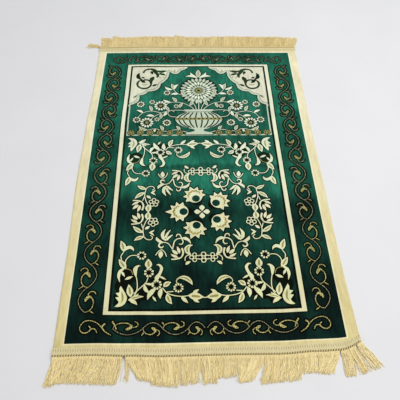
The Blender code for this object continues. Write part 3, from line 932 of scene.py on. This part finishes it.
def woven_tape():
    """Cotton-rich narrow weave: fine ribs along the tape, crossed by the weft every millimetre."""
    material, tree, shader, place = new_material("woven_cream_tape")
    ribs, weft = [
        add(tree, "ShaderNodeTexWave", {
            "Vector": place, "Scale": scale, "Distortion": 0.6, "Detail": 1.0},
            bands_direction=way).outputs["Fac"]
        for scale, way in ((400.0, "Y"), (300.0, "X"))]
    weave = add(tree, "ShaderNodeMath", {0: ribs, 1: weft}, operation="MULTIPLY")
    wear = add(tree, "ShaderNodeTexNoise", {"Vector": place, "Scale": 60.0, "Detail": 4.0})
    cloth = add(tree, "ShaderNodeMix", {
        "Factor": wear, "A": linear("#dccd95"), "B": linear("#f3e8bc")}, data_type="RGBA")
    shade = add(tree, "ShaderNodeMapRange", {"Value": weave, "To Min": 0.86, "To Max": 1.04})
    colour = add(tree, "ShaderNodeVectorMath", {0: cloth, "Scale": shade}, operation="SCALE")
    bump = add(tree, "ShaderNodeBump", {"Height": weave, "Strength": 0.5, "Distance": 0.0004})
    feed(tree, shader, {
        "Base Color": colour, "Normal": bump, "Roughness": 0.8, "Specular IOR Level": 0.2})
    return material


def build_tape(end_name, material):
    """One tape: its section swept along the end of the rug and closed at both sides."""
    rows = [floor_line(ENDS_OF_RUG[end_name], *row, TAPE_STEPS) for row in TAPE_SECTION]
    bm = bmesh.new()
    loops = [[bm.verts.new(row[k]) for row in rows] for k in range(TAPE_STEPS + 1)]
    for one, after in zip(loops, loops[1:]):
        for k in range(len(one)):
            bm.faces.new((one[k], one[k - 1], after[k - 1], after[k]))
    bm.faces.new(loops[0])
    bm.faces.new(loops[-1][::-1])
    tape = finished("tape_" + end_name, bm)
    tape.data.materials.append(material)
    return tape


tape_cloth = woven_tape()
tapes = {name: build_tape(name, tape_cloth) for name in ENDS_OF_RUG}
for name, tape in tapes.items():
    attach(tape, "root")
    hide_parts("fringe_" + name)

# The strands of the fringe. Soft spun yarns, doubled over the tape's outer edge and cut level,
# lie on the floor in loose clumps as they fell, some crossed over their neighbours.
YARN_RADIUS = 0.62
YARN_SIDES = 3
YARNS_PER_END = 3000
YARN_POINTS = 10
YARN_FRAY = 0.55               # a strand is so much thinner at its tip
YARN_DROP = 14.0               # how far out a strand has come down from the tape
YARN_KNEE = 0.36               # where a strand bends on its way out
HEAP_HEIGHT = 3.2              # the strands lie about this deep at most
ROOT_INSET = 1.8
# How far the tips lean and the strands bow: size and reach of a slow wander, and spread round it.
YARN_LEAN = (7.0, 9.0, 4.0)
YARN_BOW = (8.0, 13.0, 3.5)
YARN_WAVE = (3.5, 9)           # least and most length and swing of a strand's own waves
YARN_SWING = (0.3, 1.9)
STRAY_SHARE = 0.06             # strands that lie across their neighbours, and how far at most
STRAY_LEAN = 11.0
LEVEL_SHARE = 0.88             # strands that are cut level; the others are shorter
LEVEL_CUT = (-7.0, 3.0)
SHORT_CUT = (-24.0, -6.0)
YARN_SEEDS = {"near": 11, "far": 12}
# The far end's strands get darker tones than the near end's: painted shade on the same yarn.
YARN_TONES = {"near": (0.45, 0.93), "far": (0.38, 0.74)}
# Clumps as they fell: where the roots start and end, where the tips do, and the reach at both.
CLUMPS = {
    "near": [
        (-350, -326, -352, -337, 68, 58), (-326, -288, -337, -311, 58, 56),
        (-288, -246, -303, -268, 57, 59), (-246, -188, -267, -199, 59, 60),
        (-182, -179, -180, -175, 50, 56), (-178, -128, -152, -120, 50, 52),
        (-128, -64, -119, -66, 60, 64), (-64, -15, -66, -23, 62, 56), (-15, 14, -5, 12, 61, 57),
        (14, 66, 14, 59, 49, 47), (66, 128, 68, 92, 58, 55), (128, 147, 114, 128, 62, 60),
        (147, 218, 136, 203, 60, 57), (218, 262, 211, 248, 45, 44), (262, 299, 251, 270, 47, 50),
        (301, 317, 310, 320, 57, 58), (319, 336, 345, 359, 55, 58), (339, 360, 371, 388, 57, 54),
    ],
    "far": [
        (-350, -330, -392, -380, 8, 27), (-330, -303, -340, -308, 62, 62),
        (-303, -262, -300, -266, 73, 61), (-262, -190, -263, -192, 63, 66),
        (-190, -72, -190, -74, 66, 67), (-72, -49, -72, -52, 75, 68), (-49, 9, -49, 5, 66, 63),
        (9, 120, 12, 119, 63, 67), (120, 205, 121, 204, 68, 67), (205, 300, 206, 301, 67, 66),
        (300, 360, 303, 377, 66, 59),
    ],
}


def sway(rng, x, seed, size, reach, spread):
    """A smooth wander along x that turns over within the reach, with a random spread round it."""
    slow = (math.sin(x / reach + seed) + math.sin(x / reach * 1.83 + seed * 2.7)
            + 0.6 * math.sin(x / reach * 3.1 + seed * 5.1)) / 2.2
    return size * slow + rng.gauss(0.0, spread)


def strand_lines(end_name):
    """A mesh of bare lines, one for each strand, with the tone of its yarn on every point, darker
    at the far end by painted shade.
    """
    rng = random.Random(YARN_SEEDS[end_name])
    end = ENDS_OF_RUG[end_name]
    points, edges, tones, girths = [], [], [], []
    t = np.linspace(0.0, 1.0, YARN_POINTS)[:, None]
    line = floor_line(end, ROOT_INSET, 0.0, YARNS_PER_END, 1.2) / MM
    runs = np.gradient(line, axis=0)
    runs /= np.linalg.norm(runs, axis=1)[:, None]
    for root, run in zip(line, runs):
        outward = np.array([run[1], -run[0], 0.0]) * -end
        clump = next((c for c in CLUMPS[end_name] if c[0] <= root[0] <= c[1]), None)
        if clump is None:
            continue
        root_from, root_to, tip_from, tip_to, reach_from, reach_to = clump
        share = (root[0] - root_from) / (root_to - root_from)
        tip_x = tip_from + (tip_to - tip_from) * share
        reach = reach_from + (reach_to - reach_from) * share
        room = min(1.0, 0.3 + 6.0 * min(share, 1.0 - share))
        lean = sway(rng, root[0], 1.0 + end, *YARN_LEAN)
        if rng.random() < STRAY_SHARE:
            lean += rng.uniform(-STRAY_LEAN, STRAY_LEAN)
        cut = LEVEL_CUT if rng.random() < LEVEL_SHARE else SHORT_CUT
        tip = np.array([tip_x + lean * room, root[1] + end * (reach + rng.uniform(*cut)), 0.0])
        straight = np.linalg.norm(tip - root)
        bow = sway(rng, root[0], 4.0 + end, *YARN_BOW) * room
        knee = root + outward * straight * YARN_KNEE + run * bow
        wave, phase, swing = rng.uniform(*YARN_WAVE), rng.uniform(0, 6.3), rng.uniform(*YARN_SWING)
        tone = rng.uniform(*YARN_TONES[end_name])
        rest = YARN_RADIUS + 0.1 + HEAP_HEIGHT * rng.random() ** 1.5
        start = TAPE_TOP + 0.5 + 0.9 * rng.random()
        spots = root * (1 - t) ** 2 + knee * 2 * t * (1 - t) + tip * t ** 2
        gone = np.linalg.norm(spots - root, axis=1)[:, None]
        spots += run * (swing * np.sin(gone / wave + phase) * (0.3 + gone / straight))
        spots[:, 2:] = start + (rest - start) * ease(gone / YARN_DROP)
        edges += [(len(points) + k, len(points) + k + 1) for k in range(YARN_POINTS - 1)]
        points += list(spots * MM)
        tones += [tone] * YARN_POINTS
        girths += list(1.0 - YARN_FRAY * t[:, 0] ** 4)
    mesh = bpy.data.meshes.new("strand_lines")
    mesh.from_pydata(points, edges, [])
    for label, values in (("tone", tones), ("girth", girths)):
        mesh.attributes.new(label, "FLOAT", "POINT").data.foreach_set("value", values)
    return mesh


def new_tree(name, sizes):
    """A node tree that takes a mesh of lines, the named sizes and a yarn, and gives a geometry."""
    tree = bpy.data.node_groups.new(name, "GeometryNodeTree")
    tree.interface.new_socket("Geometry", in_out="INPUT", socket_type="NodeSocketGeometry")
    for label in sizes:
        tree.interface.new_socket(label, in_out="INPUT", socket_type="NodeSocketFloat")
    tree.interface.new_socket("Yarn", in_out="INPUT", socket_type="NodeSocketMaterial")
    tree.interface.new_socket("Geometry", in_out="OUTPUT", socket_type="NodeSocketGeometry")
    given = add(tree, "NodeGroupInput").outputs
    return tree, given, add(tree, "GeometryNodeMeshToCurve", {"Mesh": given["Geometry"]})


def tube(tree, path, radius, sides):
    """Wrap a round thread about a path, closed at its ends."""
    ring = add(tree, "GeometryNodeCurvePrimitiveCircle", {"Resolution": sides, "Radius": radius})
    return add(tree, "GeometryNodeCurveToMesh", {
        "Curve": path, "Profile Curve": ring, "Fill Caps": True})


def end_tree(tree, geometry, material):
    """Realize what the tree has made, give it its material and send it out."""
    whole = add(tree, "GeometryNodeRealizeInstances", {"Geometry": geometry})
    dressed = add(tree, "GeometryNodeSetMaterial", {"Geometry": whole, "Material": material})
    add(tree, "NodeGroupOutput", {"Geometry": dressed})
    return tree


def grown(name, source, tree, values):
    """Run a tree on a mesh and keep the result as a plain mesh object."""
    made = put(name, source)
    modifier = made.modifiers.new("grow", "NODES")
    modifier.node_group = tree
    for socket in tree.interface.items_tree:
        if socket.in_out == "INPUT" and socket.name in values:
            modifier[socket.identifier] = values[socket.name]
    depsgraph = bpy.context.evaluated_depsgraph_get()
    result = bpy.data.meshes.new_from_object(made.evaluated_get(depsgraph))
    made.modifiers.clear()
    made.data = result
    result.name = name
    result.shade_smooth()
    return made


def strand_tree():
    """Each line becomes a round yarn that thins out at its frayed end."""
    tree, given, lines = new_tree("strands", ["Radius"])
    girth = add(tree, "GeometryNodeInputNamedAttribute", {"Name": "girth"}, data_type="FLOAT")
    lines = add(tree, "GeometryNodeSetCurveRadius", {"Curve": lines, "Radius": girth})
    return end_tree(tree, tube(tree, lines, given["Radius"], YARN_SIDES), given["Yarn"])


def spun_yarn():
    """Soft two-ply cream yarn: each strand a little lighter or darker, with fine hairs."""
    material, tree, shader, place = new_material("spun_cream_yarn")
    tone = add(tree, "ShaderNodeAttribute", attribute_name="tone").outputs["Fac"]
    dyed = add(tree, "ShaderNodeMix", {
        "Factor": tone, "A": linear("#e8c974"), "B": linear("#fff3c6")}, data_type="RGBA")
    hairs = add(tree, "ShaderNodeTexNoise", {"Vector": place, "Scale": 900.0, "Detail": 2.0})
    shade = add(tree, "ShaderNodeMapRange", {"Value": hairs, "To Min": 0.93, "To Max": 1.15})
    colour = add(tree, "ShaderNodeVectorMath", {0: dyed, "Scale": shade}, operation="SCALE")
    bump = add(tree, "ShaderNodeBump", {"Height": hairs, "Strength": 0.4, "Distance": 0.0004})
    feed(tree, shader, {
        "Base Color": colour, "Normal": bump, "Roughness": 0.85, "Specular IOR Level": 0.15})
    return material


strand_yarn = spun_yarn()
strand_nodes = strand_tree()
for name in ENDS_OF_RUG:
    made = grown("strands_" + name, strand_lines(name), strand_nodes,
                 {"Radius": YARN_RADIUS * MM, "Yarn": strand_yarn})
    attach(made, "root")
    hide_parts("fringe_" + name)

# The cord over the strands' roots. Two rayon plies, one cream and one olive brown, or tan at the
# far end, are twisted together and couched down along the tape's outer edge, so that the darker
# one shows as slanting dashes.
CORD_INSET = 1.2
CORD_TURN = 5.85               # length of one turn of the twist
CORD_STEPS = 9                 # steps of the ply in one turn
CORD_RISE = 1.1
PLY_SWING = 1.2
PLY_SIDES = 6


def ply_tree():
    """A round ply that winds about a line: its angle grows with the length along the line."""
    tree, given, line = new_tree("twisted_ply", ["Turn", "Swing", "Radius", "Phase", "Step"])
    even = add(tree, "GeometryNodeResampleCurve", {
        "Curve": line, "Length": given["Step"]}, mode="LENGTH")
    length = add(tree, "GeometryNodeSplineParameter").outputs["Length"]
    turns = add(tree, "ShaderNodeMath", {0: length, 1: given["Turn"]}, operation="DIVIDE")
    angle = add(tree, "ShaderNodeMath", {
        0: turns, 1: 2 * math.pi, 2: given["Phase"]}, operation="MULTIPLY_ADD")
    across = add(tree, "ShaderNodeMath", {0: angle}, operation="COSINE")
    above = add(tree, "ShaderNodeMath", {0: angle}, operation="SINE")
    tangent = add(tree, "GeometryNodeInputTangent")
    side = add(tree, "ShaderNodeVectorMath", {
        0: tangent, 1: (0.0, 0.0, 1.0)}, operation="CROSS_PRODUCT")
    aside = add(tree, "ShaderNodeVectorMath", {0: side, "Scale": across}, operation="SCALE")
    up = add(tree, "ShaderNodeCombineXYZ", {"Z": above})
    both = add(tree, "ShaderNodeVectorMath", {0: aside, 1: up}, operation="ADD")
    offset = add(tree, "ShaderNodeVectorMath", {
        0: both, "Scale": given["Swing"]}, operation="SCALE")
    wound = add(tree, "GeometryNodeSetPosition", {"Geometry": even, "Offset": offset})
    return end_tree(tree, tube(tree, wound, given["Radius"], PLY_SIDES), given["Yarn"])


def line_mesh(points):
    mesh = bpy.data.meshes.new("line")
    mesh.from_pydata([tuple(p) for p in points], [(k, k + 1) for k in range(len(points) - 1)], [])
    return mesh


def cord_yarn(name, dark, light):
    """Hard-twisted rayon ply: a little shine along it, and short strokes of lighter fibre."""
    material, tree, shader, place = new_material(name)
    fibre = add(tree, "ShaderNodeTexNoise", {"Vector": place, "Scale": 700.0, "Detail": 2.0})
    dyed = add(tree, "ShaderNodeMix", {
        "Factor": fibre, "A": linear(dark), "B": linear(light)}, data_type="RGBA")
    feed(tree, shader, {"Base Color": dyed, "Roughness": 0.6, "Specular IOR Level": 0.3})
    return material


ply_nodes = ply_tree()
cream_ply = cord_yarn("cream_cord_ply", "#cab67a", "#eadcaa")
brown_ply = cord_yarn("olive_brown_cord_ply", "#33250a", "#6b5521")
tan_ply = cord_yarn("tan_cord_ply", "#cdb67a", "#e6d49c")
cords = {"near": [], "far": []}
for name, colour, phase, radius, yarn in [
    ("near", "brown", 0.0, 1.0, brown_ply), ("near", "cream", math.pi, 1.6, cream_ply),
    ("far", "tan", 0.0, 1.0, tan_ply), ("far", "cream", math.pi, 1.6, cream_ply),
]:
    path = floor_line(ENDS_OF_RUG[name], CORD_INSET, TAPE_TOP + CORD_RISE, 140, 2.0)
    made = grown("cord_" + colour + "_" + name, line_mesh(path), ply_nodes,
                 {"Turn": CORD_TURN * MM, "Swing": PLY_SWING * MM, "Radius": radius * MM,
                  "Phase": phase, "Step": CORD_TURN * MM / CORD_STEPS, "Yarn": yarn})
    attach(made, "root")
    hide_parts("fringe_" + name)
    cords[name].append(made)

# The zigzag that sews the tape down: a machine stitch in tan thread along the middle of each tape,
# whose threads lie across it and sink in at their ends.
STITCH_INSET = 13.0
STITCH_PITCH = 5.4
STITCH_WIDTH = 9.0
STITCH_RADIUS = 0.62
STITCH_SINK = 1.4              # radii that the ends of a thread lie under the tape's top
STITCH_LEAN = math.radians(12)


def stitch_tree():
    """Short threads set along a line, leaning one way and the other in turn."""
    tree, given, line = new_tree("zigzag", ["Pitch", "Width", "Radius", "Lean"])
    holes = add(tree, "GeometryNodeResampleCurve", {
        "Curve": line, "Length": given["Pitch"]}, mode="LENGTH")
    half = add(tree, "ShaderNodeMath", {0: given["Width"], 1: 0.5}, operation="MULTIPLY")
    back = add(tree, "ShaderNodeMath", {0: given["Width"], 1: -0.5}, operation="MULTIPLY")
    sink = add(tree, "ShaderNodeMath", {0: given["Radius"], 1: -STITCH_SINK}, operation="MULTIPLY")
    start = add(tree, "ShaderNodeCombineXYZ", {"Y": back, "Z": sink})
    finish = add(tree, "ShaderNodeCombineXYZ", {"Y": half, "Z": sink})
    top = add(tree, "ShaderNodeCombineXYZ", {"Z": given["Radius"]})
    bow = add(tree, "GeometryNodeCurveQuadraticBezier", {
        "Resolution": 6, "Start": start, "Middle": top, "End": finish})
    thread = tube(tree, bow, given["Radius"], 5)
    index = add(tree, "GeometryNodeInputIndex")
    odd = add(tree, "ShaderNodeMath", {0: index, 1: 2.0}, operation="MODULO")
    way = add(tree, "ShaderNodeMath", {0: odd, 1: 2.0, 2: -1.0}, operation="MULTIPLY_ADD")
    lean = add(tree, "ShaderNodeMath", {0: way, 1: given["Lean"]}, operation="MULTIPLY")
    turn = add(tree, "ShaderNodeCombineXYZ", {"Z": lean})
    spin = add(tree, "FunctionNodeEulerToRotation", {"Euler": turn})
    threads = add(tree, "GeometryNodeInstanceOnPoints", {
        "Points": holes, "Instance": thread, "Rotation": spin})
    return end_tree(tree, threads, given["Yarn"])


stitch_nodes = stitch_tree()
stitch_thread = cord_yarn("tan_sewing_thread", "#8d7840", "#b39f63")
for name, end in ENDS_OF_RUG.items():
    path = floor_line(end, STITCH_INSET, TAPE_TOP, 140, 3.0)
    made = grown("stitches_" + name, line_mesh(path), stitch_nodes,
                 {"Pitch": STITCH_PITCH * MM, "Width": STITCH_WIDTH * MM,
                  "Radius": STITCH_RADIUS * MM, "Lean": STITCH_LEAN, "Yarn": stitch_thread})
    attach(made, "root")
    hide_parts("fringe_" + name)
